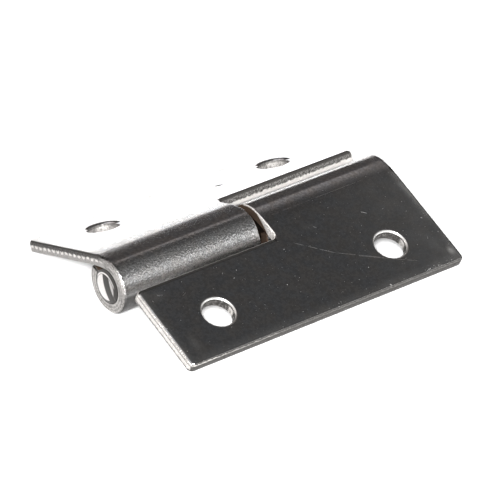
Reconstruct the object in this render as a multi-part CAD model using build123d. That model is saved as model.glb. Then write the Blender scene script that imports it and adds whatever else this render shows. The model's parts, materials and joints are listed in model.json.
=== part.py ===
# Lift-off hinge of rolled sheet, lying half folded on a table, in millimetres.
# X runs along the pin, +Z is up, and the origin is on the table below the middle of the pin.
# The pin leaf slopes down to -Y and keeps the pin. The lift-off leaf slopes down to +Y and draws off to -X.
from build123d import *
from math import asin, atan2, cos, degrees, hypot, radians, sin
import os

# Driving dimensions of the leaves, which are two pressings from one die
leaf_length = 50.0      # along the pin
leaf_reach = 19.5       # from the pin's axis to the leaf's free edge
sheet = 1.6             # thickness of the steel
notch_reach = 5.0       # from the pin's axis to the edge of the notch
knuckle_gap = 0.8       # between the two knuckles when the leaves lie end to end
roll_gap = 0.2          # between the end of the roll and the sheet above it

# Screw holes, two to a leaf
hole_diameter = 4.8
hole_pitch = 31.5
hole_row = 13.1         # from the pin's axis

# Pin
pin_diameter = 5.2
pin_clearance = 0.08    # all round, in both knuckles
pin_proud = 0.4         # how far the domed end stands out of the lift-off knuckle
pin_inset = 0.3         # how far the other end lies inside the pin leaf's knuckle
dome_height = 0.4
pin_rim_break = 0.3     # flat broken on the rim of the dome
pin_chamfer = 0.3

# Edges as the press and the polishing leave them
corner_radius = 0.8     # corners of the outline
edge_round = 0.5        # rolled-over side of the cut, on the outer faces
burr_break = 0.15       # flat broken on the other side of the cut, on the inner faces
rim_break = 0.25        # flat broken on the outer rim of the screw holes

# How far the pin leaf stands drawn along the pin, as it lies
drawn_apart = 0.4

# Sizes that follow
bore_radius = pin_diameter / 2 + pin_clearance
barrel_radius = bore_radius + sheet
knuckle_length = (leaf_length - knuckle_gap) / 2
roll_end = degrees(asin((bore_radius - roll_gap) / barrel_radius))
NEAR = 1e-4


def lean():
    """Slope of each leaf when its barrel and its lower free edge both touch the table."""
    foot = leaf_reach - burr_break
    return degrees(asin(barrel_radius / hypot(foot, bore_radius)) + atan2(bore_radius, foot))


def on_roll(radius, angle):
    """Point of the leaf's section at this radius from the pin, its angle counted from the flat's side."""
    return radius * cos(radians(angle)), radius * sin(radians(angle))


def rolled_section():
    """Flat sheet that turns round the pin from its top, over and under it, and up to its own underside."""
    turn = 270 + roll_end
    with BuildSketch(Plane.YZ) as section:
        with BuildLine():
            Line((leaf_reach, barrel_radius), (0, barrel_radius))
            CenterArc((0, 0), barrel_radius, 90, turn)
            Line(on_roll(barrel_radius, roll_end), on_roll(bore_radius, roll_end))
            CenterArc((0, 0), bore_radius, 90, turn)
            Line((0, bore_radius), (leaf_reach, bore_radius))
            Line((leaf_reach, bore_radius), (leaf_reach, barrel_radius))
        make_face()
    return section.sketch


def outline_edges(leaf, radius):
    """Cut edges of the sheet on its face at this radius, on the flat and round the roll."""
    def lies_there(edge):
        points = [edge.position_at(step) for step in (0, 0.25, 0.5, 0.75, 1)]
        on_flat = all(abs(p.Z - radius) < NEAR and p.Y > -NEAR for p in points)
        on_curve = all(abs(hypot(p.Y, p.Z) - radius) < NEAR for p in points)
        where_they_join = all(abs(p.Y) < NEAR for p in points)
        return (on_flat or on_curve) and not where_they_join
    return ShapeList(edge for edge in leaf.edges() if lies_there(edge))


def make_leaf():
    """One leaf about the pin's axis: flat to +Y, knuckle at the -X end, notch for the other one beside it."""
    leaf = extrude(Pos(-leaf_length / 2, 0, 0) * rolled_section(), leaf_length)
    notch_start = knuckle_length - leaf_length / 2
    notch_box = Box(leaf_length, 2 * (notch_reach + barrel_radius), 4 * barrel_radius,
                    align=(Align.MIN, Align.MAX, Align.CENTER))
    leaf = leaf - Pos(notch_start, notch_reach, 0) * notch_box
    corners = leaf.edges().filter_by(GeomType.LINE).filter_by(lambda edge: abs(edge.length - sheet) < NEAR)
    leaf = fillet(corners, corner_radius)
    leaf = fillet(outline_edges(leaf, barrel_radius), edge_round)
    leaf = chamfer(outline_edges(leaf, bore_radius), burr_break)
    for side in (-1, 1):
        leaf = leaf - Pos(side * hole_pitch / 2, hole_row, 0) * Cylinder(hole_diameter / 2, 4 * barrel_radius)
    rims = leaf.edges().filter_by(GeomType.CIRCLE).filter_by(
        lambda edge: abs(edge.radius - hole_diameter / 2) < NEAR and abs(edge.center().Y - hole_row) < NEAR)
    outer_rims = rims.filter_by(lambda edge: edge.center().Z > barrel_radius - NEAR)
    return chamfer(outer_rims, rim_break)


def make_pin():
    """Plain round pin with a domed end towards -X and a chamfered end inside the pin leaf's knuckle."""
    tip = -leaf_length / 2 - pin_proud
    shoulder = tip + dome_height
    tail = leaf_length / 2 + drawn_apart - pin_inset
    radius = pin_diameter / 2
    with BuildSketch(Plane.XZ) as half:
        with BuildLine():
            TangentArc((tip, 0), (shoulder, radius), tangent=(0, 1))
            Line((shoulder, radius), (tail - pin_chamfer, radius))
            Line((tail - pin_chamfer, radius), (tail, radius - pin_chamfer))
            Line((tail, radius - pin_chamfer), (tail, 0))
            Line((tail, 0), (tip, 0))
        make_face()
        rim = half.vertices().filter_by(lambda corner: abs(corner.X - shoulder) < NEAR)
        chamfer(rim, pin_rim_break)
    return revolve(half.sketch, Axis.X)


# Both leaves lean until their free edges and the barrel lie on the table
lying = Pos(0, 0, barrel_radius) * Rot(-lean(), 0, 0) * make_leaf()
pieces = {
    "lift_off_leaf": lying,
    "pin_leaf": Pos(drawn_apart, 0, 0) * Rot(0, 0, 180) * lying,
    "hinge_pin": Pos(0, 0, barrel_radius) * make_pin(),
}

os.makedirs("parts", exist_ok=True)
for node, piece in pieces.items():
    export_step(piece, f"parts/{node}.step")
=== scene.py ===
# Looks of a lift-off hinge of rolled sheet steel, laid out as a Blender add-on and run as a script.
# It works in metres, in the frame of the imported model: X along the pin, Z up, the table at z = 0.
import json
import math
from contextlib import contextmanager
from functools import reduce
from operator import or_
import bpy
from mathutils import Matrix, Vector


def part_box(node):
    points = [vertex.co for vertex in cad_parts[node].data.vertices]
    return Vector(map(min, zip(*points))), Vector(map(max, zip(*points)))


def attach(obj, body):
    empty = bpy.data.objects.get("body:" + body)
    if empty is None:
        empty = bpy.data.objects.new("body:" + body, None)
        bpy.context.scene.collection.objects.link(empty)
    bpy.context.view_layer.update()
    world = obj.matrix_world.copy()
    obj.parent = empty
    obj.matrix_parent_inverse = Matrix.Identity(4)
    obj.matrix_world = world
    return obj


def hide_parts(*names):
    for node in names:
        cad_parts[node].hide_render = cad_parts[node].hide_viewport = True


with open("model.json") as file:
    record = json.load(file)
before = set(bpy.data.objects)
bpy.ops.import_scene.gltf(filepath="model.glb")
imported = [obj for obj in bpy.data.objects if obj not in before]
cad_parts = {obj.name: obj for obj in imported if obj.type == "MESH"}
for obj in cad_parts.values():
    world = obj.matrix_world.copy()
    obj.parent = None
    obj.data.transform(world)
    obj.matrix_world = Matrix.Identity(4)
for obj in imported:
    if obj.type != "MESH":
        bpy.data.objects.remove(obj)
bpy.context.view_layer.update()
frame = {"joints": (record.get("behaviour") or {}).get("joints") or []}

from types import SimpleNamespace

import bmesh
import bpy
from bpy.props import FloatProperty, FloatVectorProperty, PointerProperty
from mathutils import Quaternion, Vector

bl_info = {
    "name": "Lift-off hinge",
    "version": (1, 0, 0),
    "blender": (4, 5, 0),
    "location": "3D View > Sidebar > Hinge",
    "description": "Models the leaves and the pin of a lift-off hinge round its packed frame",
    "category": "Add Mesh",
}

MM = 0.001

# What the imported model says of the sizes
leaf_low, leaf_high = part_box("lift_off_leaf")
_, pin_leaf_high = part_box("pin_leaf")
pin_low, pin_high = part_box("hinge_pin")
AXIS_HEIGHT = next(joint["pos_m"][2] for joint in frame["joints"] if joint["name"] == "swing")

# Fineness of the round faces
ROLL_STEPS = 110
HOLE_SIDES = 96
PIN_SIDES = 96
DOME_RINGS = 10
LEAD_STEPS = 8
CORNER_STEPS = 8
EDGE_STEPS = 6
RIM_STEPS = 4
BREAK_STEPS = 2
ROUND_PROFILE = 0.5

# What counts as one place, as one plane, as facing one way and as a crease
NEAR = 0.03 * MM
PLANE_ANGLE = math.radians(0.3)
FACING = 0.99
CREASE = math.radians(30)

# How strongly the wide faces hold the normals of their edges
FLAT_WEIGHT = 60

# A face is a cut one where its normal has less than this of the sheet's normal: elsewhere, and at the holes
CUT_SLOPE, RIM_SLOPE = 0.75, 0.3

# Floor: its size in metres, and the ring in millimetres round the hinge where it starts to glow
FLOOR_SIZE = 6
NEAR_FLOOR = (50, 110)
FLOOR_CLOUD, FLOOR_SHADE, FLOOR_ROUGHNESS = 0.1, 0.97, 0.9

# Room: the horizon by how far a direction rises, each light's start and end by its angle over the pin, in
# degrees from level behind, and the left box by how near a direction is to its own
HORIZON = (-0.01, 0.06)
TOP_START, TOP_TINT = (45, 75), (85, 55)
GLOW_START = (74, 110)
FRONT_TOP, FRONT_FOOT = (132, 152), (168, 158)
STRIP_OVER, STRIP_EDGE = 59.8, (6, 2)
LEFT_WAY, LEFT_EDGE = (-0.72, 0.25, 0.64), (0.74, 0.90)

# The most that a light can be set to
LIGHT_LIMIT = 10

# Key lamp behind the camera
KEY_PLACE = Vector((-0.52, -0.62, 0.585))
KEY_SIZE = 0.3

# Camera: azimuth, elevation and roll in degrees, lens and sensor in millimetres, near and far end in metres
CAMERA_TURNS = (38.46, 32.69, 2.11)
CAMERA_TARGET = Vector((-1.02, -2.46, 3.03)) * MM
CAMERA_DISTANCE = 615.4 * MM
CAMERA_LENS, CAMERA_SENSOR = 303.1, 36
CAMERA_CLIP = (0.05, 20)


# Sizes and colours that a user would change

def length(name, description, default):
    return FloatProperty(name=name, description=description, default=default, unit="LENGTH", precision=5)


def angle(name, description, default):
    return FloatProperty(name=name, description=description, default=math.radians(default), subtype="ANGLE")


def factor(name, description, default, high=1.0):
    return FloatProperty(name=name, description=description, default=default, min=0, max=high,
                         subtype="FACTOR")


def light(name, description, default):
    return factor(name, description, default, LIGHT_LIMIT)


def colour(name, description, default):
    return FloatVectorProperty(name=name, description=description, default=default, min=0, max=1,
                               subtype="COLOR")


class LeafSizes(bpy.types.PropertyGroup):
    """Sizes of the leaf's pressing, which both leaves share"""
    length: length("Length", "Along the pin", leaf_high.x - leaf_low.x)
    reach: length("Reach", "From the pin's axis to the free edge", 19.7 * MM)
    barrel_radius: length("Barrel radius", "Outside radius of the knuckle, which lies on the table",
                          AXIS_HEIGHT)
    sheet: length("Sheet", "Thickness of the steel", 1.6 * MM)
    notch_reach: length("Notch", "From the pin's axis to the edge of the notch", 5 * MM)
    knuckle_gap: length("Knuckle gap", "Between the knuckles when the leaves lie end to end", 0.8 * MM)
    roll_gap: length("Roll gap", "Between the end of the roll and the sheet above it", 0.06 * MM)
    hole_diameter: length("Hole", "Diameter of the screw holes", 4.8 * MM)
    hole_pitch: length("Hole pitch", "Between the two screw holes of a leaf", 31.5 * MM)
    hole_row: length("Hole row", "From the pin's axis to the screw holes", 13.1 * MM)
    lead_length: length("Lead", "Length of the easy bend between the flat and the roll", 2.7 * MM)
    lead_turn: angle("Lead turn", "Turn of the easy bend between the flat and the roll", 11)
    corner_radius: length("Corner radius", "Rounding of the outline's corners", 0.8 * MM)
    end_round: length("End round", "Outer edges of the ends and the notch, which the die rolled over",
                      0.65 * MM)
    free_round: length("Free edge round", "Outer edge of the free side", 0.18 * MM)
    knuckle_round: length("Knuckle round", "Outer edge of the knuckle's end", 0.5 * MM)
    seam_round: length("Seam round", "Outer edge of the knuckle beside the notch", 0.25 * MM)
    burr_break: length("Burr break", "Break of the inner edges of the cut", 0.06 * MM)
    rim_round: length("Rim round", "Outer rim of the screw holes", 0.45 * MM)
    drawn_apart: length("Drawn apart", "How far the pin leaf lies drawn along the pin",
                        pin_leaf_high.x - leaf_high.x)

    @property
    def bore_radius(self):
        return self.barrel_radius - self.sheet

    @property
    def knuckle_end(self):
        """Where the knuckle stops and the notch starts, along the leaf."""
        return -self.knuckle_gap / 2

    @property
    def lead_radius(self):
        return self.barrel_radius + self.lead_length / math.sin(self.lead_turn)

    @property
    def lead_centre(self):
        return Vector((0, self.lead_length, self.flat_height - self.lead_radius))

    @property
    def flat_height(self):
        """Outer face of the flat above the pin's axis. The easy bend lifts it off the barrel's tangent."""
        return self.barrel_radius + self.lead_length * math.tan(self.lead_turn / 2)

    @property
    def flat_under(self):
        return self.flat_height - self.sheet

    @property
    def roll_end(self):
        """Angle at which the roll stops under the flat, counted from the flat's side."""
        return math.asin((self.flat_under - self.roll_gap) / self.barrel_radius)

    @property
    def lean(self):
        """Slope of each leaf when its barrel and its lower free edge both touch the table."""
        foot = self.reach - self.burr_break
        return (math.asin(self.barrel_radius / math.hypot(foot, self.flat_under))
                + math.atan2(self.flat_under, foot))

    @property
    def places(self):
        """Where each leaf lies: its body, its place and its turn."""
        return {
            "lift_off_leaf": ((0, 0, self.barrel_radius), (-self.lean, 0, 0)),
            "pin_leaf": ((self.drawn_apart, 0, self.barrel_radius), (-self.lean, 0, math.pi)),
        }


class PinSizes(bpy.types.PropertyGroup):
    """Sizes of the pin"""
    diameter: length("Diameter", "Diameter of the pin", 5.2 * MM)
    tip: length("Tip", "Place of the domed end along X", pin_low.x)
    tail: length("Tail", "Place of the plain end along X", pin_high.x)
    dome_height: length("Dome", "Height of the domed end", 0.4 * MM)
    rim_break: length("Rim break", "Break of the rims of the ends", 0.3 * MM)


class SteelFinish(bpy.types.PropertyGroup):
    """Colours of the steel and how polished it is"""
    face: colour("Faces", "Colour of the polished faces", (0.635, 0.61, 0.595))
    stain: colour("Stains", "Colour of the faces where they are faintly stained", (0.585, 0.595, 0.62))
    cut: colour("Cut edges", "Colour of the sheared edges", (0.675, 0.65, 0.625))
    # Dark marks, and also painted shade: dark bands, the free edge, low on the roll, the cut faces' dark
    # base, the pin's rim
    grime: colour("Marks", "Colour of dark marks", (0.10, 0.095, 0.09))
    # Dust and satin, and also the painted sheen, the holes' painted rim highlight and the notch's painted
    # highlight line
    dust: colour("Dust", "Colour of specks of dust", (0.85, 0.84, 0.82))
    # Painted shade in the knuckles' gap: the pin's middle and the cut beside the knuckle
    grease: colour("Grease", "Colour of the greased middle of the pin", (0.16, 0.11, 0.08))
    polish: factor("Roughness", "Roughness of the polished faces", 0.13)


class StudioLight(bpy.types.PropertyGroup):
    """Floor, soft boxes and surroundings"""
    floor: colour("Floor", "Colour of the floor", (0.93, 0.93, 0.93))
    room: colour("Room", "Tint of the dim room behind the hinge", (1.0, 0.93, 0.91))
    far_floor: light("Far floor", "Light of the floor away from the hinge", 2.3)
    key_power: FloatProperty(name="Key lamp", description="Soft lamp behind the camera", default=25, min=0,
                             unit="POWER")
    back_light: light("Back of the room", "Light of the room low behind the hinge", 0.10)
    top_light: light("Top of the room", "Light of the room overhead", 0.066)
    front_box: light("Front box", "Light of the soft box low in front", 1.05)
    left_box: light("Left box", "Light of the soft box high on the left", 0.8)
    glow: light("Glow", "Light above the soft box in front", 0.11)
    strip: light("Strip", "Light of the narrow strip overhead", 0.28)


class HingeSettings(bpy.types.PropertyGroup):
    """All settings of the hinge"""
    leaf: PointerProperty(name="Leaf", description="Sizes of the leaves", type=LeafSizes)
    pin: PointerProperty(name="Pin", description="Sizes of the pin", type=PinSizes)
    steel: PointerProperty(name="Steel", description="Colours and polish of the steel", type=SteelFinish)
    studio: PointerProperty(name="Studio", description="Floor and light", type=StudioLight)


# Hand tools

def pick(*pieces):
    """Selects these objects alone, the last one active."""
    bpy.ops.object.select_all(action="DESELECT")
    for piece in pieces:
        piece.select_set(True)
        bpy.context.view_layer.objects.active = piece


def put_in_place(piece):
    """Moves the object's place, turn and scale into its mesh."""
    pick(piece)
    bpy.ops.object.transform_apply(location=True, rotation=True, scale=True)


def new_piece(primitive, name, scale=(1, 1, 1), **sizes):
    """Adds a primitive at its size and place, which go into its mesh."""
    bpy.ops.object.select_all(action="DESELECT")
    primitive(**sizes)
    piece = bpy.context.object
    piece.name = piece.data.name = name
    piece.scale = scale
    put_in_place(piece)
    return piece


def copy_piece(piece, name):
    """A copy with its own mesh."""
    pick(piece)
    bpy.ops.object.duplicate(linked=False)
    copy = bpy.context.object
    copy.name = copy.data.name = name
    return copy


@contextmanager
def editing(piece):
    """Edit mode on one piece, with nothing selected."""
    pick(piece)
    bpy.ops.object.mode_set(mode="EDIT")
    bpy.ops.mesh.select_all(action="DESELECT")
    yield
    bpy.ops.object.mode_set(mode="OBJECT")


def choose(piece, kind, test):
    """In edit mode, selects just the edges or the faces that pass the test."""
    bpy.ops.mesh.select_mode(type=kind)
    bpy.ops.mesh.select_all(action="DESELECT")
    shape = bmesh.from_edit_mesh(piece.data)
    shape.normal_update()
    found = [item for item in {"EDGE": shape.edges, "FACE": shape.faces}[kind] if test(item)]
    if not found:
        raise RuntimeError(f"{piece.name}: this step finds nothing to select")
    for item in found:
        item.select_set(True)
    bmesh.update_edit_mesh(piece.data)


def bevel(piece, test, offset, segments):
    """In edit mode, rounds the edges that pass the test, in this many steps."""
    choose(piece, "EDGE", test)
    bpy.ops.mesh.bevel(offset=offset, offset_type="OFFSET", segments=segments, profile=ROUND_PROFILE,
                       affect="EDGES")


def apply_modifier(piece, kind, **settings):
    pick(piece)
    modifier = piece.modifiers.new(kind.title(), kind)
    for name, value in settings.items():
        setattr(modifier, name, value)
    bpy.ops.object.modifier_apply(modifier=modifier.name)


def smooth(piece):
    """Smooth shading that keeps the wide faces flat and the hard edges hard."""
    pick(piece)
    bpy.ops.object.shade_smooth_by_angle(angle=CREASE)
    apply_modifier(piece, "WEIGHTED_NORMAL", mode="FACE_AREA", weight=FLAT_WEIGHT, keep_sharp=True)


def wear(piece, *finishes):
    for finish in finishes:
        piece.data.materials.append(finish.material)


# The leaf about the pin's axis: X along the pin, Y out along the flat, Z the flat's outward normal

def sheet_at(point, sizes):
    """The sheet's outward normal at a point of the leaf, and the point's depth under the outer face."""
    if point.y > sizes.lead_length and point.z > sizes.flat_under - sizes.roll_gap / 2:
        return Vector((0, 0, 1)), sizes.flat_height - point.z
    centre, radius = Vector((0, 0, 0)), sizes.barrel_radius
    lead_start = -sizes.barrel_radius * math.sin(sizes.lead_turn)
    lead_under = sizes.bore_radius * math.cos(sizes.lead_turn) - sizes.roll_gap / 2
    if lead_start < point.y <= sizes.lead_length and point.z > lead_under:
        centre, radius = sizes.lead_centre, sizes.lead_radius
    arm = Vector((0, point.y, point.z)) - centre
    return arm.normalized(), radius - arm.length


def roll_plate(leaf, sizes):
    """Eases the plate's edge down and rolls it round the pin. The last step leaves room to round the lip."""
    lip = 2 * sizes.free_round / sizes.barrel_radius
    roll = 3 * math.pi / 2 + sizes.roll_end - sizes.lead_turn
    choose(leaf, "EDGE", lambda edge: all(v.co.y < sizes.lead_length + NEAR for v in edge.verts))
    for steps, turn, centre in ((LEAD_STEPS, sizes.lead_turn, sizes.lead_centre),
                                (ROLL_STEPS, roll - lip, (0, 0, 0)), (1, lip, (0, 0, 0))):
        bpy.ops.mesh.spin(steps=steps, angle=turn, center=centre, axis=(-1, 0, 0))
    bpy.ops.mesh.select_all(action="SELECT")
    bpy.ops.mesh.remove_doubles(threshold=NEAR)
    bpy.ops.mesh.normals_make_consistent(inside=False)
    if not any(face.normal.z > FACING and face.calc_center_median().y > sizes.lead_length
               for face in bmesh.from_edit_mesh(leaf.data).faces):
        bpy.ops.mesh.flip_normals()


def cut_notch(leaf, sizes):
    """Cuts away the roll and the flat beside the knuckle."""
    for place, normal in (((sizes.knuckle_end, 0, 0), (1, 0, 0)), ((0, sizes.notch_reach, 0), (0, 1, 0))):
        bpy.ops.mesh.select_all(action="SELECT")
        bpy.ops.mesh.bisect(plane_co=place, plane_no=normal, threshold=NEAR)

    def in_notch(face):
        middle = face.calc_center_median()
        return middle.x > sizes.knuckle_end and middle.y < sizes.notch_reach
    choose(leaf, "FACE", in_notch)
    bpy.ops.mesh.delete(type="FACE")
    bpy.ops.mesh.select_all(action="SELECT")
    bpy.ops.mesh.dissolve_limited(angle_limit=PLANE_ANGLE)


def round_corners(leaf, sizes):
    half = sizes.length / 2
    corners = [(-half, sizes.reach), (half, sizes.reach), (half, sizes.notch_reach),
               (sizes.knuckle_end, sizes.notch_reach)]

    def at_corner(edge):
        first, second = (v.co for v in edge.verts)
        top = max((first, second), key=lambda co: math.hypot(co.y, co.z))
        through = abs(edge.calc_length() - sizes.sheet) < NEAR and abs(first.x - second.x) < NEAR
        return through and any(math.hypot(top.x - x, top.y - y) < NEAR for x, y in corners)
    bevel(leaf, at_corner, sizes.corner_radius, CORNER_STEPS)


def on_outline(depth, sizes):
    """A test for the edges of the outline at this depth of the sheet."""
    return lambda edge: (edge.calc_face_angle(0) > CREASE
                         and all(abs(sheet_at(v.co, sizes)[1] - depth) < NEAR for v in edge.verts))


def rounding(edge, sizes):
    """How far the outer edge is rolled over here, by the way that the cut beside it faces."""
    middle = (edge.verts[0].co + edge.verts[1].co) / 2
    across = sheet_at(middle, sizes)[0]
    way = min((face.normal for face in edge.link_faces), key=lambda normal: abs(normal.dot(across)))
    beside_notch = way.x > 0 and middle.x < sizes.length / 2 - 2 * sizes.corner_radius
    on_roll = min(max((sizes.lead_length - middle.y) / (2 * sizes.lead_length), 0), 1)
    at_end = sizes.end_round + (sizes.knuckle_round - sizes.end_round) * on_roll
    end = sizes.seam_round if beside_notch else at_end
    side = sizes.free_round if way.y > 0 or on_roll else sizes.end_round
    return end * way.x ** 2 + side * (1 - way.x ** 2)


def roll_edges(leaf, sizes):
    """Rolls the outer edges over, each by its own rounding, and breaks the burr on the inner ones."""
    widest = max(sizes.end_round, sizes.free_round, sizes.knuckle_round, sizes.seam_round)
    on_outer_outline = on_outline(0, sizes)
    with editing(leaf):
        shape = bmesh.from_edit_mesh(leaf.data)
        shape.normal_update()
        weight = shape.edges.layers.float.new("bevel_weight_edge")
        for edge in shape.edges:
            if on_outer_outline(edge):
                edge[weight] = rounding(edge, sizes) / widest
        bmesh.update_edit_mesh(leaf.data)
    apply_modifier(leaf, "BEVEL", limit_method="WEIGHT", offset_type="OFFSET", width=widest,
                   segments=EDGE_STEPS, profile=ROUND_PROFILE, use_clamp_overlap=False)
    with editing(leaf):
        bevel(leaf, on_outline(sizes.sheet, sizes), sizes.burr_break, BREAK_STEPS)


def off_hole(point, sizes):
    """How far a point of the flat is from the wall of the nearer screw hole."""
    return (math.hypot(abs(point.x) - sizes.hole_pitch / 2, point.y - sizes.hole_row)
            - sizes.hole_diameter / 2)


def drill(leaf, sizes):
    """Drills the screw holes and rounds their outer rims."""
    drills = [new_piece(bpy.ops.mesh.primitive_cylinder_add, "drill", vertices=HOLE_SIDES,
                        radius=sizes.hole_diameter / 2, depth=2 * sizes.barrel_radius,
                        location=(side * sizes.hole_pitch / 2, sizes.hole_row, sizes.flat_height))
              for side in (-1, 1)]
    pick(*drills)
    bpy.ops.object.join()
    drill_pair = bpy.context.object
    apply_modifier(leaf, "BOOLEAN", operation="DIFFERENCE", solver="EXACT", object=drill_pair)
    bpy.data.objects.remove(drill_pair)

    def on_rim(edge):
        return all(abs(v.co.z - sizes.flat_height) < NEAR and abs(off_hole(v.co, sizes)) < NEAR
                   for v in edge.verts)
    with editing(leaf):
        bevel(leaf, on_rim, sizes.rim_round, RIM_STEPS)


def mark_cut_faces(leaf, sizes):
    """Gives the sheared edges and the walls of the holes the leaf's second finish."""
    def sheared(face):
        middle = face.calc_center_median()
        at_hole = off_hole(middle, sizes) < 2 * sizes.rim_round
        return abs(face.normal.dot(sheet_at(middle, sizes)[0])) < (RIM_SLOPE if at_hole else CUT_SLOPE)
    with editing(leaf):
        choose(leaf, "FACE", sheared)
        leaf.active_material_index = 1
        bpy.ops.object.material_slot_assign()


def model_leaf(sizes):
    """A flat plate rolled round the pin at one edge, notched, given its thickness, broken and drilled."""
    leaf = new_piece(bpy.ops.mesh.primitive_plane_add, "leaf", size=1,
                     scale=(sizes.length, sizes.reach - sizes.lead_length, 1),
                     location=(0, (sizes.reach + sizes.lead_length) / 2, sizes.flat_height))
    with editing(leaf):
        roll_plate(leaf, sizes)
        cut_notch(leaf, sizes)
    apply_modifier(leaf, "SOLIDIFY", thickness=sizes.sheet, offset=-1, use_even_offset=True)
    with editing(leaf):
        round_corners(leaf, sizes)
    roll_edges(leaf, sizes)
    drill(leaf, sizes)
    return leaf


def model_pin(sizes):
    """A round bar along X, domed ring by ring at its end towards -X, with a broken rim at the other."""
    radius, shoulder = sizes.diameter / 2, sizes.tip + sizes.dome_height
    pin = new_piece(bpy.ops.mesh.primitive_cylinder_add, "pin", vertices=PIN_SIDES, radius=radius,
                    depth=sizes.tail - shoulder, rotation=(0, math.pi / 2, 0),
                    location=((sizes.tail + shoulder) / 2, 0, AXIS_HEIGHT))
    ball = (radius ** 2 + sizes.dome_height ** 2) / (2 * sizes.dome_height)
    centre = sizes.tip + ball
    rim = radius - sizes.rim_break
    with editing(pin):
        bevel(pin, lambda edge: all(v.co.x > sizes.tail - NEAR for v in edge.verts), sizes.rim_break,
              BREAK_STEPS)
        choose(pin, "FACE", lambda face: face.normal.x < -FACING)
        place, across = shoulder, radius
        for ring in range(DOME_RINGS):
            to = rim * (1 - ring / DOME_RINGS)
            lift = centre - math.sqrt(ball ** 2 - to ** 2)
            bpy.ops.mesh.inset(thickness=across - to, depth=0)
            bpy.ops.transform.translate(value=(lift - place, 0, 0))
            place, across = lift, to
    return pin


# Shader maths

# Noises: each one's scale, detail and roughness, the values that spread over 0 to 1, its stretch and its turn
NOISES = {
    "cloud": (0.25, 3, 0.55, (0.3, 0.7)),
    "mottle": (2.3, 3, 0.65, (0.3, 0.7)),
    "stain": (0.5, 3, 0.6, (0.35, 0.65), (1.0, 1.0, 1.0), 1.0),
    "satin grain": (5.0, 1.5, 0.5, None, (1.0, 0.7, 0.7), 0.4),
    "sparkle": (4.2, 1.5, 0.6, (0.3, 0.7), (1.0, 0.8, 0.8), -0.5),
    "handling": (0.45, 2, 0.5, (0.5, 0.7)),
    "skips": (1.3, 2, 0.6, (0.25, 0.5)),
    "chipped": (0.8, 1, 0.5, (0.5, 0.6, 0.0, 0.6)),
    "fine": (5.5, 3, 0.7, (0.38, 0.62)),
    "lumps": (2.4, 3, 0.6, (0.35, 0.65), (1.0, 1.0, 0.5)),
    "arcs": (3.0, 2, 0.6, None, (1.0, 0.15, 0.15)),
    "drawn lines": (4.0, 3, 0.6, None, (0.08, 1.0, 1.0)),
    "crop grain": (5.0, 3, 0.6, None),
    "paper": (0.02, 3, 0.5, None),
}

# Specks: their least size, the core within their soft rim, and how sharply their cells are picked
SPECK_LEAST, SPECK_CORE, SPECK_LUCK = 0.25, 0.5, 0.98

# Scratches: the core of their width, and the parts of their length where they are full and start to fade
SCRATCH_CORE, SCRATCH_START, SCRATCH_STOP = 0.3, 0.15, 0.8

# How much the depth counts in a place's way from the middle of an ellipse on the flat
ELLIPSE_DEPTH = 0.2


class Wire:
    """A value in a material. Python's operators on it add Math nodes."""

    def __init__(self, finish, socket):
        self.finish, self.socket = finish, socket

    def math(self, operation, *others):
        return self.finish.node("ShaderNodeMath", {"operation": operation}, dict(enumerate((self, *others))))

    def __add__(self, other):
        return self.math("ADD", other)

    def __sub__(self, other):
        return self.math("SUBTRACT", other)

    def __neg__(self):
        return self * -1

    def __rsub__(self, other):
        return -self + other

    def __mul__(self, other):
        return self.math("MULTIPLY", other)

    def __truediv__(self, other):
        return self.math("DIVIDE", other)

    def __pow__(self, other):
        return self.math("POWER", other)

    def __abs__(self):
        return self.math("ABSOLUTE")

    def __or__(self, other):
        return self.math("MAXIMUM", other)

    def __and__(self, other):
        return self.math("MINIMUM", other)

    __radd__, __rmul__, __ror__ = __add__, __mul__, __or__

    def beside(self, output):
        """Another output of the same node."""
        return Wire(self.finish, self.socket.node.outputs[output])


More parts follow.
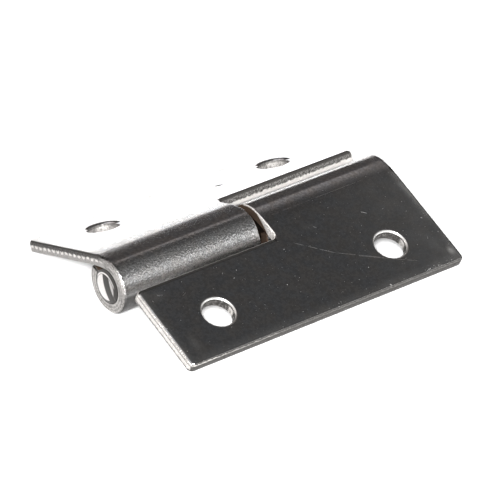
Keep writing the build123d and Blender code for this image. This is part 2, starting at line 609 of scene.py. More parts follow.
class Finish:
    """A material under construction, or the light of a world."""

    def __init__(self, name=None, tree=None):
        self.material = None if tree else bpy.data.materials.new(name)
        if self.material:
            self.material.use_nodes = True
        self.tree = tree or self.material.node_tree
        self.tree.nodes.clear()

    def node(self, kind, settings=None, sockets=None, output=0):
        """Adds a node: its settings first, then the values or wires of its sockets."""
        made = self.tree.nodes.new(kind)
        for name, value in (settings or {}).items():
            setattr(made, name, value)
        for name, value in (sockets or {}).items():
            if isinstance(value, Wire):
                self.tree.links.new(value.socket, made.inputs[name])
            else:
                made.inputs[name].default_value = value
        return Wire(self, made.outputs[output]) if made.outputs else None

    def here(self, place=(0, 0, 0), turn=(0, 0, 0)):
        """The place on the piece in millimetres, seen from this place and turn."""
        spot = self.node("ShaderNodeTexCoord", output="Object")
        return self.node("ShaderNodeMapping", {"vector_type": "TEXTURE"},
                         {"Vector": spot, "Location": place, "Rotation": turn, "Scale": (MM, MM, MM)})

    def split(self, spot):
        return [self.node("ShaderNodeSeparateXYZ", None, {"Vector": spot}, axis) for axis in "XYZ"]

    def stretched(self, spot, scale, turn=0.0):
        """The place turned about the sheet's normal and then stretched along each way."""
        return self.node("ShaderNodeMapping", {"vector_type": "POINT"},
                         {"Vector": self.node("ShaderNodeVectorRotate", {"rotation_type": "Z_AXIS"},
                                              {"Vector": spot, "Angle": turn}), "Scale": scale})

    def noise(self, name, spot):
        """One of the noises by its name, at this place."""
        scale, detail, roughness, spread, *stretch = NOISES[name]
        made = self.node("ShaderNodeTexNoise", None,
                         {"Vector": self.stretched(spot, *stretch) if stretch else spot,
                          "Scale": scale, "Detail": detail, "Roughness": roughness})
        return self.ramp(made, *spread) if spread else made

    def specks(self, spot, scale, size, share):
        """Round specks on the flat, of many sizes, one to this share of the cells of a scale."""
        gap = self.node("ShaderNodeTexVoronoi", {"voronoi_dimensions": "2D"},
                        {"Vector": spot, "Scale": scale})
        luck = self.node("ShaderNodeSeparateColor", None, {"Color": gap.beside("Color")})
        return (self.ramp(gap / (luck.beside("Green") + SPECK_LEAST), size, SPECK_CORE * size)
                * self.ramp(luck, share, SPECK_LUCK * share))

    def ripple(self, value, pitch):
        """A wave of this pitch, from 0 to 1."""
        return (value * (2 * math.pi / pitch)).math("SINE") * 0.5 + 0.5

    def ramp(self, value, start, end, low=0.0, high=1.0):
        """From low at start to high at end, smoothly, and level outside."""
        return self.node("ShaderNodeMapRange", {"interpolation_type": "SMOOTHSTEP"},
                         {"Value": value, "From Min": start, "From Max": end, "To Min": low, "To Max": high})

    def stripe(self, value, middle, edge, core):
        """A stripe about a middle: none from its edge outwards, full from its core inwards."""
        return self.ramp(abs(value - middle), edge, core)

    def strongest(self, masks):
        """The strongest of some masks at each place, or 0 where there are none."""
        return reduce(or_, masks, 0.0)

    def blend(self, factor, first, second):
        """A colour between two colours."""
        return self.node("ShaderNodeMix", {"data_type": "RGBA"}, {"Factor": factor, 6: first, 7: second}, 2)

    def scaled(self, colour, factor):
        """A colour times a value."""
        return self.node("ShaderNodeVectorMath", {"operation": "SCALE"}, {0: colour, "Scale": factor})

    def ellipse(self, spot, centre, radii, turn=0.0):
        """How far the place is from the middle of an ellipse on the flat, whose rim is at 1."""
        way = self.node("ShaderNodeVectorMath", {"operation": "SUBTRACT"}, {0: spot, 1: centre})
        way = self.stretched(way, (1 / radii[0], 1 / radii[1], ELLIPSE_DEPTH), turn)
        return self.node("ShaderNodeVectorMath", {"operation": "LENGTH"}, {0: way}, "Value")

    def bump(self, height, depth):
        """Relief of this depth in millimetres."""
        return self.node("ShaderNodeBump", None, {"Height": height, "Distance": depth * MM, "Strength": 1.0})

    def scratch(self, x, y, start, end, width):
        """A line scratched from one place to another on the flat, fading at its ends."""
        (x0, y0), (x1, y1) = start, end
        span = math.hypot(x1 - x0, y1 - y0)
        ux, uy = (x1 - x0) / span, (y1 - y0) / span
        along = (x - x0) * ux + (y - y0) * uy
        across = abs((x - x0) * uy - (y - y0) * ux)
        return (self.ramp(across, width, SCRATCH_CORE * width) * self.ramp(along, 0, SCRATCH_START * span)
                * self.ramp(along, span, SCRATCH_STOP * span))

    def metal(self, **sockets):
        """Ends the material in a metal with these sockets."""
        shader = self.node("ShaderNodeBsdfPrincipled", None, {"Metallic": 1.0, **sockets})
        self.node("ShaderNodeOutputMaterial", None, {"Surface": shader})
        return self


def opaque(colour, share=1.0):
    """A colour without transparency, at this share of its brightness."""
    return (*(share * part for part in colour), 1)


# Looks of the leaves. A pair is where a look starts and where it is full, in the leaf's own millimetres:
# x along the pin, y out along the flat, z up from the pin's axis, the depth under the outer face, or the way
# in from an end or an edge.

# Where the sheet is rolled, by y at the root and by z under the flat, and where x has passed the knuckle
ROLLED_Y, ROLLED_Z = (1.4, -0.8), (2.7, 2.5)
PAST_KNUCKLE = (-0.2, 0.4)

# The roll: satin and painted low shade by z, painted shade at the low corner and a worn top by z and from the
# end, a chafed end
SATIN = (3.85, 2.6)
SHADE, SHADE_STOP, SHADE_COVER = (-0.65, -1.35), (-2.9, -2.2), 0.6
LOW_CORNER_Z, LOW_CORNER_END, LOW_CORNER_COVER = (-0.65, -1.6), (6, 2), 0.9
WORN_Z, WORN_END = (2.2, 3.4), (5.0, 0.5)
CHAFED_END = (1.0, 0.4)

# The flat: its painted sheen towards one end and along the rims, by depth and cloud, and the haze by y at the
# root
SHEEN_X, SHEEN_X_WEIGHT = (4, 26), 0.38
SHEEN_RIM, SHEEN_RIM_WEIGHT = (1.9, 0.1), 0.4
SHEEN_DEPTH, SHEEN_CLEAR, SHEEN_CLOUD = (0.10, 0.02), 0.7, 0.5
HAZE, HAZE_START, HAZE_CLEAR, HAZE_MOTTLE = (5.4, 3.0), (1.5, 2.3), 0.6, 0.6

# The rolled-over edge: how far in it goes, its painted dark band by depth and on the flat, and the painted
# highlight line beside it
ROLLED_OVER = (0.75, 0.45)
BAND_DEPTH, BAND_ON_FLAT, BAND_ON_FLAT_DEPTH = (0.01, 0.08), (0.65, 0.5), (0.5, 0.3)
LINE_DEPTH, LIP_DEPTH = (0.12, 0.22), (0.36, 0.28)

# Marks of use: their depths, the worn rims of the holes with a painted highlight, and specks by scale, size
# and share
SCRATCH_DEPTH, SPECK_DEPTH, PIT_DEPTH = (0.3, 0.1), (0.2, 0.05), (0.5, 0.3)
PIT_RIM = (1.0, 0.7)
RIM_WEAR_AND_HIGHLIGHT, RIM_WEAR_AND_HIGHLIGHT_DEPTH = (0.4, 0.2), (0.5, 0.4)
CHIPS, CHIPPED_EDGE = (3.2, 0.34, 0.3), (0.6, 0.25)
DUST = (0.9, 0.045, 0.045)
NICK_SCALE, NICK_SIZE, NICK_SHARE, NICKS_EVERYWHERE = 2.2, 0.16, 0.07, 0.3
FLECKS = (0.2, 0.8)
# Painted shade along the free edge of the polished face, by the way in from it
FREE_RIM_SHADE = (0.3, 0.1)

# A dark mark darkens over the first pair of its strength, and turns from metal to a dull coat over the second
DARKENED, DULLED = (0.0, 0.5), (0.5, 1.0)

# What each look of the faces covers, how bright its colour is, and what it adds to roughness and relief
FACE_COVER = {"flecks": 0.24, "cloud": 0.09, "satin": 0.5, "sparkle": 0.42, "chafed": 0.15,
              "chafed mottle": 0.6, "dust": 0.6, "low corner shade": 0.6}
FACE_SHADE = {"chafed": 0.3, "shaded": 0.15, "pits": 0.2}
FACE_ROUGHNESS = {"satin": 0.10, "sheen": 0.16, "mottle": 0.03, "cloud": 0.02, "scratches": 0.35,
                  "nicks": 0.25, "dust": 0.5, "pits": 0.75, "band": 0.3, "rim_worn": 0.15,
                  "root_haze": 0.13, "end_worn": 0.3}
FACE_RELIEF = {"mottle": 0.1, "scratches": -0.6, "nicks": -0.5, "dust": 0.5}
SATIN_RELIEF, POLISHED_RELIEF, FACE_DEPTH = 5.5, 0.04, 0.016

# Marks of use and painted light on each leaf, in its own millimetres along the pin and out from it: scratches
# with their ends, width and weight, pits with their middle, half sizes and turn, and patches of painted sheen
# with their middle, half sizes and weight. Then how strong the painted shade along its free edge is, how
# light the painted light on the walls of its holes is, how far the notch's painted dark band goes over onto
# the flat and how bright it is, and how strong the painted highlight line along the notch, the wear of the
# knuckle's end, the wear and painted highlight of the holes, and the haze at the root are.
LEAF_MARKS = {
    "pin_leaf": {
        "scratches": [((-1.7, 6.7), (-7.5, 11.6), 0.07, 0.7), ((-6.6, 10.9), (-14.0, 15.2), 0.07, 0.6),
                      ((-9.0, 12.5), (-18.9, 18.0), 0.06, 0.5), ((-15.1, 6.2), (-16.0, 6.9), 0.08, 0.9),
                      ((-0.5, 1.22), (-21.0, 1.15), 0.06, 0.3), ((21.6, 7.3), (22.6, 6.9), 0.10, 0.4),
                      ((18.2, 8.2), (19.1, 8.6), 0.09, 0.4), ((-6.6, 5.6), (-7.1, 6.1), 0.08, 0.7)],
        "pits": [],
        "sheen_patches": [((22.5, 7.0), (2.2, 1.8), 0.35), ((22.3, 16.6), (1.3, 2.6), 0.4),
                   ((-22.6, 15.8), (1.8, 3.6), 0.2), ((-23.7, 17.8), (0.8, 1.2), 0.8),
                   ((-24.4, 4.0), (1.2, 6.0), 0.4), ((-6.0, 5.4), (2.2, 1.0), 0.2)],
        "free_rim_shade": 0.5,
        "painted_bore_light": 0.35,
        "band_over": 0.1,
        "band_tone": 0.2,
        "painted_notch_line": 1.0,
        "end_worn": 0.4,
        "rim_worn": 1.0,
        "root_haze": 0.0,
    },
    "lift_off_leaf": {
        "scratches": [((-20.0, 8.0), (-9.0, 10.5), 0.08, 0.5), ((6.0, 16.5), (17.0, 9.0), 0.08, 0.5)],
        "pits": [((4.8, 12.16), (0.75, 0.36), 0.47)],
        "sheen_patches": [((-3.0, 4.5), (18.0, 1.4), 0.3)],
        "free_rim_shade": 0.0,
        "painted_bore_light": 0.8,
        "band_over": 0.45,
        "band_tone": 0.45,
        "painted_notch_line": 0.0,
        "end_worn": 0.0,
        "rim_worn": 0.0,
        "root_haze": 1.0,
    },
}


def leaf_places(finish, place, sizes):
    """Measures of the place on a leaf, in its own millimetres."""
    spot = finish.here(*place)
    x, y, z = finish.split(spot)
    half = sizes.length / 2 / MM
    rolled = finish.ramp(y, *ROLLED_Y) | finish.ramp(z, *ROLLED_Z)
    flat = 1 - rolled
    depth = (sizes.flat_height / MM - z) * flat + (sizes.barrel_radius / MM - (y * y + z * z) ** 0.5) * rolled
    return SimpleNamespace(
        spot=spot, x=x, y=y, z=z, rolled=rolled, flat=flat, depth=depth, from_end=x + half,
        from_other_end=half - x, from_side=half - abs(x), from_edge=sizes.reach / MM - y,
        from_notch=y - sizes.notch_reach / MM, from_hole_row=y - sizes.hole_row / MM)


def face_looks(finish, at, sizes, marks):
    """How strongly each look shows on the faces of a leaf, from 0 to 1."""
    flat_height = sizes.flat_height / MM
    cloud, mottle, handling = (finish.noise(kind, at.spot) for kind in ("cloud", "mottle", "handling"))

    satin = finish.ramp(at.z, *SATIN) * at.rolled
    sparkle = finish.noise("sparkle", at.spot) * satin
    # Painted shade low on the roll, along its length and stronger at the low corner by the end
    low_corner = finish.ramp(at.z, *LOW_CORNER_Z) * finish.ramp(at.from_end, *LOW_CORNER_END) * at.rolled
    shaded = (finish.ramp(at.z, *SHADE) * finish.ramp(at.z, *SHADE_STOP) * at.rolled * SHADE_COVER
              | low_corner * LOW_CORNER_COVER)
    end_worn = (finish.ramp(at.from_end, *WORN_END) * finish.ramp(at.z, *WORN_Z) * at.rolled
                * marks["end_worn"])
    chafed = finish.ramp(at.from_end, *CHAFED_END) * at.rolled

    # Painted sheen: lighter and rougher towards one end, along the rims and in patches
    sheen = (finish.ramp(-at.x, *SHEEN_X) * SHEEN_X_WEIGHT
             + finish.ramp(at.from_side & at.from_edge, *SHEEN_RIM) * SHEEN_RIM_WEIGHT)
    for centre, radii, weight in marks["sheen_patches"]:
        sheen = sheen + finish.ramp(finish.ellipse(at.spot, (*centre, flat_height), radii), 1.0, 0.0) * weight
    sheen = sheen * at.flat * finish.ramp(at.depth, *SHEEN_DEPTH) * (SHEEN_CLEAR + cloud * SHEEN_CLOUD)
    root_haze = (finish.ramp(at.y, *HAZE) * finish.ramp(at.y, *HAZE_START) * at.flat
                 * (HAZE_CLEAR + mottle * HAZE_MOTTLE) * marks["root_haze"])

    past_knuckle = finish.ramp(at.x, *PAST_KNUCKLE)
    rolled_over = (finish.ramp(at.from_end, *ROLLED_OVER)
                   | finish.ramp(at.from_notch, *ROLLED_OVER) * past_knuckle)
    # Painted dark band along the rolled-over edges and onto the flat by the notch: painted shade and dark
    # reflection
    on_flat = (finish.ramp(at.from_notch - marks["band_over"], *BAND_ON_FLAT) * past_knuckle
               * finish.ramp(at.depth, *BAND_ON_FLAT_DEPTH))
    # Painted highlight line along the notch's rolled-over edge, left out of the dark band and lightened
    line = finish.ramp(at.depth, *LINE_DEPTH) * past_knuckle * rolled_over * marks["painted_notch_line"]
    band = at.flat * ((finish.ramp(at.depth, *BAND_DEPTH) * rolled_over | on_flat) - line)

    scratches = finish.strongest(finish.scratch(at.x, at.y, start, end, width) * weight
                                 for start, end, width, weight in marks["scratches"])
    scratches = scratches * finish.noise("skips", at.spot) * finish.ramp(at.depth, *SCRATCH_DEPTH)
    from_middle = ((abs(at.x) - sizes.hole_pitch / 2 / MM) ** 2 + at.from_hole_row ** 2) ** 0.5
    # The holes' rims: worn, and lightened as a painted highlight
    rim_worn = (finish.ramp(from_middle - sizes.hole_diameter / 2 / MM, *RIM_WEAR_AND_HIGHLIGHT)
                * finish.ramp(at.depth, *RIM_WEAR_AND_HIGHLIGHT_DEPTH) * at.flat * marks["rim_worn"])
    on_face = at.flat * finish.ramp(at.depth, *SPECK_DEPTH)
    chips = (finish.specks(at.spot, *CHIPS) * finish.ramp(at.from_edge, *CHIPPED_EDGE)
             * finish.noise("chipped", at.spot))
    dust = (finish.specks(at.spot, *DUST) | chips) * on_face
    nick_share = NICK_SHARE * (handling + NICKS_EVERYWHERE)
    nicks = finish.specks(at.spot, NICK_SCALE, NICK_SIZE, nick_share) * on_face
    pits = finish.strongest(
        finish.ramp(finish.ellipse(at.spot, (*centre, flat_height), radii, turn), *PIT_RIM)
        * finish.ramp(at.depth, *PIT_DEPTH) for centre, radii, turn in marks["pits"])
    return SimpleNamespace(
        cloud=cloud, mottle=mottle, satin=satin, sparkle=sparkle, low_corner=low_corner, shaded=shaded,
        end_worn=end_worn, chafed=chafed, sheen=sheen, root_haze=root_haze, line=line, band=band,
        scratches=scratches, rim_worn=rim_worn, dust=dust, nicks=nicks, pits=pits)


def polished_sheet(name, place, sizes, steel, marks):
    """Faces of a leaf: polished and finely mottled, with a satin grain where the sheet is rolled, painted
    sheen and highlights, and painted shade low on the roll and along the edges.
    """
    finish = Finish(name)
    at = leaf_places(finish, place, sizes)
    looks = face_looks(finish, at, sizes, marks)

    def total(weights, start):
        return sum((getattr(looks, look) * weight for look, weight in weights.items()), start)

    tone = finish.blend(finish.noise("stain", at.spot), opaque(steel.face), opaque(steel.stain))
    flecks = finish.ramp(looks.mottle, *FLECKS)
    for cover, paint in (
            (flecks * FACE_COVER["flecks"] + looks.cloud * FACE_COVER["cloud"], opaque(steel.grime)),
            # Painted sheen, the holes' painted rim highlight and the notch's painted highlight line, in the
            # dust colour
            (looks.sheen | looks.rim_worn | looks.line, opaque(steel.dust)),
            (looks.satin * FACE_COVER["satin"], opaque(steel.dust)),
            (looks.sparkle * FACE_COVER["sparkle"], opaque(steel.grime)),
            (looks.chafed * (FACE_COVER["chafed"] + looks.mottle * FACE_COVER["chafed mottle"]),
             opaque(steel.face, FACE_SHADE["chafed"])),
            # Painted shade along the free edge
            (finish.ramp(at.from_edge, *FREE_RIM_SHADE) * marks["free_rim_shade"], opaque(steel.grime)),
            # Painted dark band along the rolled-over edges
            (finish.ramp(looks.band, *DARKENED), opaque(steel.grime, marks["band_tone"])),
            (looks.shaded, opaque(steel.grime, FACE_SHADE["shaded"])),
            (looks.dust * FACE_COVER["dust"], opaque(steel.dust)),
            (finish.ramp(looks.pits, *DARKENED), opaque(steel.grime, FACE_SHADE["pits"]))):
        tone = finish.blend(cover, tone, paint)

    # Dust, pits, the painted dark band and the painted shade at the low corner take the metal off
    dirt_and_shade = (looks.dust * FACE_COVER["dust"] | finish.ramp(looks.pits | looks.band, *DULLED)
            | looks.low_corner * FACE_COVER["low corner shade"])
    grain = finish.noise("satin grain", at.spot) * (looks.satin * SATIN_RELIEF + POLISHED_RELIEF)
    height = total(FACE_RELIEF, grain + looks.mottle * looks.chafed)
    return finish.metal(**{"Base Color": tone, "Roughness": total(FACE_ROUGHNESS, steel.polish),
                           "Metallic": 1 - dirt_and_shade, "Specular IOR Level": 0.0,
                           "Normal": finish.bump(height, FACE_DEPTH)})


# Cut faces: the free edge, the ribbed and the plain end, the holes, and the side beside the knuckle
FREE, RIBBED, PLAIN = (0.5, 0.2), (0.5, 0.3), (0.5, 0.3)
BORED_Y, BESIDE = (8, 9), (-0.1, -0.4)
RAGGEDNESS = 0.2

# Ribs of the shear: pitch, waver, crest, the stripe of depth that they fill, and where the cut gets light
# under its painted dark top
RIB_PITCH, RIB_WAVER, RIB_CREST, RIB_STRIPE = 1.15, 0.12, (0.2, 0.6), (0.75, 0.3, 0.15)
RIB_START, RIB_BASE, RIB_LIGHT = (0.52, 0.68), 0.36, 0.56

# Arcs on the ring that the knuckle's end shows
ARC_PITCH, ARC_WAVE, ARC_SPREAD = 0.5, 0.3, (0.4, 0.8)
RING_BASE, RING_ARCS = 0.7, 0.3

# The plain end's two dark lines by depth, each with its strength
PLAIN_BASE, PLAIN_LINE, PLAIN_LINE_DARK = 1.0, (0.5, 0.14, 0.06), 0.5
PLAIN_FOOT, PLAIN_FOOT_DARK = (1.42, 0.2, 0.08), 0.7

# The free edge's painted glint by depth and along the leaf, between strips of painted shade that lose their
# metal
GLINT, GLINT_X, GLINT_BASE, GLINT_LUMPS = (0.36, 0.15, 0.06), (4, 25, 0.14, 0.9), 0.4, 0.8
FREE_CUT_SHADE_TOP, FREE_CUT_SHADE_START, FREE_CUT_SHADE_STOP = (0.25, 0.12), (0.42, 0.55), (1.1, 0.95)

# The holes' walls' painted light by depth, and the painted highlight patch in each, by x and y from the
# hole's middle
BORE_DEPTH, BORE_LUMPS = (0.35, 0.75, 0.3, 1.0), 0.3
WALL_HIGHLIGHT_X, WALL_HIGHLIGHT_Y, WALL_HIGHLIGHT_DEPTH = (-1.5, -2.0), (0.1, 0.9, 0.2), (0.3, 0.6)
WALL_HIGHLIGHT_BASE, WALL_HIGHLIGHT_LUMPS = 1.0, 0.4

# The notch: torn bright low in the cut, bright beside the knuckle, and painted shade in the knuckles' gap
# there by y, depth and z
NOTCH_TORN, NOTCH_DEPTH, BESIDE_BASE = (0.85, 1.08, 0.3, 1.3), (0.2, 0.4), 1.1
GAP_SHADE_Y, GAP_SHADE_DEPTH, GAP_SHADE_SLOPE, GAP_SHADE_Z = (4.2, 3.4), (0.18, 0.38), 0.37, (2.95, 2.7)

# How far the fine grain darkens each cut face, and what the rest adds to tone, roughness, relief and dullness
FINE_DARK = {"ribs": 0.15, "ring": 0.35, "plain": 0.3, "bore": 0.35, "beside": 0.6, "notch": 0.38}
FREE_FINE_LIGHT = 0.03
CUT_SHADE, GAP_SHADE_LEVEL = 0.6, 0.5
CUT_ROUGHNESS, FINE_ROUGHNESS, TORN_ROUGHNESS, FREE_ROUGHNESS = 0.26, 0.1, 0.16, 0.1
LUMP_RELIEF, FINE_RELIEF, RIB_RELIEF, CUT_DEPTH = 0.7, 0.4, 0.5, 0.05
TORN_DULL, FREE_CUT_SHADE_DULL = 0.45, 0.75


def sheared_edge(name, place, sizes, steel, marks):
    """Cut faces: painted dark under the roll-over, ribbed by the shear at the knuckle's end, torn in the
    notch and the holes and bright in the notch, with painted light and a painted highlight on the holes'
    walls, a painted glint and painted shade along the free edge, and painted shade in the knuckles' gap
    beside the knuckle."""
    finish = Finish(name)
    at = leaf_places(finish, place, sizes)
    fine, lumps = (finish.noise(kind, at.spot) for kind in ("fine", "lumps"))
    ragged = at.depth + (lumps - 0.5) * RAGGEDNESS
    dark = {face: fine * weight for face, weight in FINE_DARK.items()}

    free = finish.ramp(at.from_edge, *FREE)
    ribbed = finish.ramp(at.from_end, *RIBBED) * (1 - free)
    plain = finish.ramp(at.from_other_end, *PLAIN) * (1 - free)
    torn = 1 - (free | ribbed | plain)
    bored = finish.ramp(at.y, *BORED_Y) * torn
    notched = torn - bored
    beside = finish.ramp(at.from_notch, *BESIDE) * notched
    along_notch = notched - beside

    ribs = (finish.ramp(finish.ripple(at.y + lumps * RIB_WAVER, RIB_PITCH), *RIB_CREST)
            * finish.stripe(ragged, *RIB_STRIPE))
    arcs = finish.ramp(finish.noise("arcs", at.spot) + finish.ripple(at.depth, ARC_PITCH) * ARC_WAVE,
                       *ARC_SPREAD)
    glint = finish.stripe(ragged, *GLINT) * finish.ramp(at.x, *GLINT_X) * (GLINT_BASE + lumps * GLINT_LUMPS)
    # Painted shade on the free edge's cut: it keeps its dark base and loses its metal
    free_cut_shade = (finish.ramp(at.depth, *FREE_CUT_SHADE_TOP)
           | finish.ramp(ragged, *FREE_CUT_SHADE_START) * finish.ramp(ragged, *FREE_CUT_SHADE_STOP)) * free
    from_middle = at.x - at.x.math("SIGN") * (sizes.hole_pitch / 2 / MM)
    # Painted highlight on one side of each hole's wall, on the leaf whose rims are worn
    painted_wall_highlight = (finish.ramp(from_middle, *WALL_HIGHLIGHT_X) * finish.stripe(at.from_hole_row, *WALL_HIGHLIGHT_Y)
               * finish.ramp(at.depth, *WALL_HIGHLIGHT_DEPTH) * bored * marks["rim_worn"])
    # Painted shade in the knuckles' gap, on the cut beside the knuckle
    gap_shaded = beside * (finish.ramp(at.y, *GAP_SHADE_Y)
                        * finish.ramp(at.depth - (at.y | 0) * GAP_SHADE_SLOPE, *GAP_SHADE_DEPTH)
                        | finish.ramp(at.z, *GAP_SHADE_Z))

    rib_light = finish.ramp(ragged, *RIB_START) * (RIB_BASE + ribs * RIB_LIGHT - dark["ribs"])
    ring_light = RING_BASE - dark["ring"] - arcs * RING_ARCS
    plain_light = (PLAIN_BASE - dark["plain"] - finish.stripe(at.depth, *PLAIN_LINE) * PLAIN_LINE_DARK
                   - finish.stripe(ragged, *PLAIN_FOOT) * PLAIN_FOOT_DARK)
    # Painted light and shade of the holes' walls: each leaf has its own level, darker towards the top
    painted_bore_light = ((marks["painted_bore_light"] - dark["bore"] - lumps * BORE_LUMPS)
                  * finish.ramp(at.depth, *BORE_DEPTH))
    # The lip carries the notch's painted highlight line
    notch_light = ((finish.ramp(ragged, *NOTCH_TORN) - dark["notch"]) * finish.ramp(at.depth, *NOTCH_DEPTH)
                   + finish.ramp(at.depth, *LIP_DEPTH) * marks["painted_notch_line"])
    bright = (ribbed * (at.flat * rib_light + at.rolled * ring_light) + plain * plain_light
              + free * (glint + fine * FREE_FINE_LIGHT) + bored * painted_bore_light
              + painted_wall_highlight * (WALL_HIGHLIGHT_BASE - lumps * WALL_HIGHLIGHT_LUMPS) + beside * (BESIDE_BASE - dark["beside"])
              + along_notch * notch_light)

    # Where the cut is not bright it keeps a dark base: painted dark under the roll-over and along the free
    # edge
    tone = finish.blend(bright, opaque(steel.grime, CUT_SHADE), opaque(steel.cut))
    tone = finish.blend(gap_shaded, tone, opaque(steel.grease, GAP_SHADE_LEVEL))
    roughness = CUT_ROUGHNESS + fine * FINE_ROUGHNESS + torn * TORN_ROUGHNESS + free * FREE_ROUGHNESS
    height = lumps * LUMP_RELIEF + fine * FINE_RELIEF + ribbed * ribs * RIB_RELIEF
    return finish.metal(**{"Base Color": tone, "Roughness": roughness,
                           "Metallic": 1 - (torn * TORN_DULL | free_cut_shade * FREE_CUT_SHADE_DULL),
                           "Specular IOR Level": 0.0, "Normal": finish.bump(height, CUT_DEPTH)})


# The pin's end: its face by x from the tip, the bruise across it where it was cropped and darker beyond it,
# and its rim darkened as painted shade, left light in an arc at the top as a painted highlight
END_FACE = (0.5, 0.35)
CROP_WAY, CROP_STRIPE, CROP_FAR = (0.944, -0.463), (-0.65, 0.85, 0.62), (-1.2, -1.6)
DOME_MIDDLE, DOME_RIM, DOME_RIM_X = (0.17, -0.21), (1.95, 2.1), (4, 2)
DOME_ARC, DOME_ARC_Z = (2.2, 0.14, 0.06), (0.4, 1.0)
# Painted dark brown shade at the pin's middle where the knuckles' gap shows it: by x, and how much it covers
PIN_GAP_SHADE_X, PIN_GAP_SHADE_COVER = (4.0, 1.5), 0.95
END_FAR_COVER, END_GRAIN_COVER, END_SHADE, CROP_AND_RIM_SHADE = 0.5, 0.5, 0.4, 0.5
PIN_ROUGHNESS, LINE_ROUGHNESS, CROP_ROUGHNESS, END_ROUGHNESS, GAP_ROUGHNESS = 0.16, 0.08, 0.15, 0.1, 0.1
END_RELIEF, CROP_RELIEF, PIN_DEPTH = 0.6, 1.5, 0.02


def drawn_bar(name, place, pin, steel):
    """The pin: drawn along its length, with painted dark brown shade at its middle where the knuckles' gap
    shows it, bruised where its domed end was cropped, with painted shade round that end's rim.
    """
    finish = Finish(name)
    spot = finish.here(place)
    x, y, z = finish.split(spot)
    from_tip = x - pin.tip / MM
    end = finish.ramp(from_tip, *END_FACE)
    across = y * CROP_WAY[0] + z * CROP_WAY[1]
    crop = finish.stripe(across, *CROP_STRIPE) * end
    out = ((y - DOME_MIDDLE[0]) ** 2 + (z - DOME_MIDDLE[1]) ** 2) ** 0.5
    # Painted shade round the domed end's rim, left off in an arc at the top as a painted highlight
    rim = finish.ramp(out, *DOME_RIM) * finish.ramp(from_tip, *DOME_RIM_X)
    arc = finish.stripe(out, *DOME_ARC) * finish.ramp(z, *DOME_ARC_Z) * end
    gap_shaded = finish.ramp(abs(x), *PIN_GAP_SHADE_X)
    lines, grain = finish.noise("drawn lines", spot), finish.noise("crop grain", spot) * end

    tone = finish.blend(finish.ramp(across, *CROP_FAR) * end * END_FAR_COVER + grain * END_GRAIN_COVER,
                        opaque(steel.face), opaque(steel.face, END_SHADE))
    tone = finish.blend((crop | rim) - arc, tone, opaque(steel.grime, CROP_AND_RIM_SHADE))
    tone = finish.blend(gap_shaded * PIN_GAP_SHADE_COVER, tone, opaque(steel.grease, GAP_SHADE_LEVEL))
    roughness = (PIN_ROUGHNESS + lines * LINE_ROUGHNESS + crop * CROP_ROUGHNESS + grain * END_ROUGHNESS
                 + gap_shaded * GAP_ROUGHNESS)
    height = lines * (1 - end) + grain * END_RELIEF - crop * CROP_RELIEF
    return finish.metal(**{"Base Color": tone, "Roughness": roughness,
                           "Normal": finish.bump(height, PIN_DEPTH)})


# Operators, one to each group of pieces and one to the stage

class HINGE_OT_leaves(bpy.types.Operator):
    """Model one leaf, copy it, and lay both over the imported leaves"""
    bl_idname = "hinge.leaves"
    bl_label = "Leaves"

    def execute(self, context):
        settings = context.scene.hinge
        sizes, steel = settings.leaf, settings.steel
        pattern = model_leaf(sizes)
        for body, place in sizes.places.items():
            leaf = copy_piece(pattern, f"{body}_sheet")
            wear(leaf, polished_sheet(f"{body} polished face", place, sizes, steel, LEAF_MARKS[body]),
                 sheared_edge(f"{body} sheared edge", place, sizes, steel, LEAF_MARKS[body]))
            mark_cut_faces(leaf, sizes)
            smooth(leaf)
            leaf.location, leaf.rotation_euler = place
            put_in_place(leaf)
            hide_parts(body)
            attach(leaf, body)
        bpy.data.objects.remove(pattern)
        return {"FINISHED"}


class HINGE_OT_pin(bpy.types.Operator):
    """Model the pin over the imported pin"""
    bl_idname = "hinge.pin"
    bl_label = "Pin"

    def execute(self, context):
        settings = context.scene.hinge
        pin = model_pin(settings.pin)
        wear(pin, drawn_bar("drawn bar", (0, 0, AXIS_HEIGHT), settings.pin, settings.steel))
        smooth(pin)
        pin.name = "pin_bar"
        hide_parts("hinge_pin")
        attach(pin, "hinge_pin")
        return {"FINISHED"}


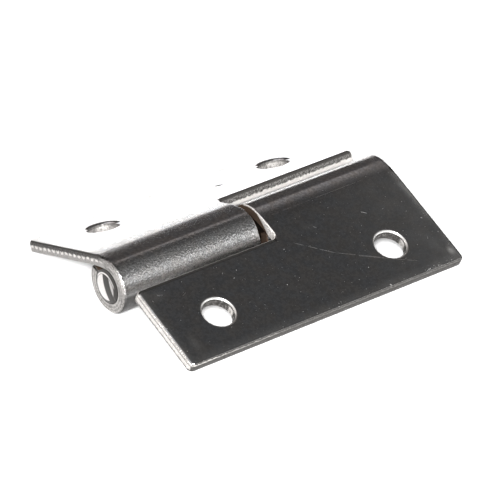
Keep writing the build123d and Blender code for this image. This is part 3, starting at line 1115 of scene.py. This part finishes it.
class HINGE_OT_stage(bpy.types.Operator):
    """Lay the floor, light the room, hang the key lamp and set up the camera"""
    bl_idname = "hinge.stage"
    bl_label = "Stage"

    def execute(self, context):
        studio = context.scene.hinge.studio
        self.lay_floor(studio)
        self.light_room(context, studio)
        self.hang_key(studio)
        self.set_camera(context)
        return {"FINISHED"}

    def lay_floor(self, studio):
        """A white floor that glows away from the hinge, as a lit backdrop does."""
        floor = new_piece(bpy.ops.mesh.primitive_plane_add, "floor", size=FLOOR_SIZE, location=(0, 0, -NEAR))
        paper = Finish("floor paper")
        spot = paper.here()
        x, y, _ = paper.split(spot)
        tone = paper.blend(paper.noise("paper", spot) * FLOOR_CLOUD, opaque(studio.floor),
                           opaque(studio.floor, FLOOR_SHADE))
        away = paper.ramp((x * x + y * y) ** 0.5, *NEAR_FLOOR)
        glow = paper.blend(away, opaque([0, 0, 0]), opaque([studio.far_floor] * 3))
        paper.metal(**{"Metallic": 0.0, "Base Color": tone, "Roughness": FLOOR_ROUGHNESS,
                       "Emission Color": glow, "Emission Strength": 1.0})
        wear(floor, paper)

    def light_room(self, context, studio):
        """A dim room with a soft box low in front, one high on the left and a strip overhead; white below."""
        world = context.scene.world = bpy.data.worlds.new("studio")
        world.use_nodes = True
        room = Finish(tree=world.node_tree)
        way = room.node("ShaderNodeTexCoord", output="Generated")
        _, y, rise = room.split(way)
        over = rise.math("ARCTAN2", y) * math.degrees(1)
        to_left = room.node("ShaderNodeVectorMath", {"operation": "DOT_PRODUCT"},
                            {0: way, 1: LEFT_WAY}, "Value")
        lit = (room.ramp(over, *TOP_START, studio.back_light, studio.top_light)
               + room.ramp(over, *GLOW_START) * room.ramp(over, *FRONT_FOOT) * studio.glow
               + room.ramp(over, *FRONT_TOP) * room.ramp(over, *FRONT_FOOT) * studio.front_box
               + room.stripe(over, STRIP_OVER, *STRIP_EDGE) * studio.strip
               + room.ramp(to_left, *LEFT_EDGE) * studio.left_box)
        above = room.ramp(rise, *HORIZON)
        tint = room.blend(above * room.ramp(over, *TOP_TINT), opaque([1, 1, 1]), opaque(studio.room))
        strength = (1 - above) * studio.far_floor + above * lit
        shader = room.node("ShaderNodeBackground", None,
                           {"Color": room.scaled(tint, strength), "Strength": 1.0})
        room.node("ShaderNodeOutputWorld", None, {"Surface": shader})

    def hang_key(self, studio):
        """A soft lamp behind the camera, so that the shadows hide behind the hinge."""
        bpy.ops.object.light_add(type="AREA", location=KEY_PLACE)
        lamp = bpy.context.object
        lamp.name = lamp.data.name = "key lamp"
        lamp.data.shape = "DISK"
        lamp.data.size = KEY_SIZE
        lamp.data.energy = studio.key_power
        lamp.rotation_euler = (-KEY_PLACE).to_track_quat("-Z", "Y").to_euler()

    def set_camera(self, context):
        """Looks from the side, front and above at the angle of the photograph, whose frame is square."""
        azimuth, elevation, roll = (math.radians(turn) for turn in CAMERA_TURNS)
        back = Vector((-math.sin(azimuth) * math.cos(elevation), -math.cos(azimuth) * math.cos(elevation),
                       math.sin(elevation)))
        bpy.ops.object.camera_add(location=CAMERA_TARGET + back * CAMERA_DISTANCE)
        camera = bpy.context.object
        camera.rotation_mode = "QUATERNION"
        camera.rotation_quaternion = (-back).to_track_quat("-Z", "Y") @ Quaternion((0, 0, 1), roll)
        camera.data.sensor_width = CAMERA_SENSOR
        camera.data.lens = CAMERA_LENS
        camera.data.clip_start, camera.data.clip_end = CAMERA_CLIP
        context.scene.camera = camera
        context.scene.view_settings.view_transform = "Standard"


class VIEW3D_PT_hinge(bpy.types.Panel):
    """Lists the steps of the hinge and its settings"""
    bl_label = "Lift-off hinge"
    bl_space_type = "VIEW_3D"
    bl_region_type = "UI"
    bl_category = "Hinge"

    def draw(self, context):
        for step in STEPS:
            self.layout.operator(step.bl_idname)
        settings = context.scene.hinge
        for group in (settings.leaf, settings.pin, settings.steel, settings.studio):
            box = self.layout.box()
            for name in group.__annotations__:
                box.prop(group, name)


STEPS = (HINGE_OT_leaves, HINGE_OT_pin, HINGE_OT_stage)
CLASSES = (LeafSizes, PinSizes, SteelFinish, StudioLight, HingeSettings, *STEPS, VIEW3D_PT_hinge)


def register():
    for kind in CLASSES:
        bpy.utils.register_class(kind)
    bpy.types.Scene.hinge = PointerProperty(type=HingeSettings)


def unregister():
    del bpy.types.Scene.hinge
    for kind in reversed(CLASSES):
        bpy.utils.unregister_class(kind)


def main():
    register()
    bpy.ops.hinge.leaves()
    bpy.ops.hinge.pin()
    bpy.ops.hinge.stage()
    bpy.context.view_layer.update()


if __name__ == "__main__":
    main()
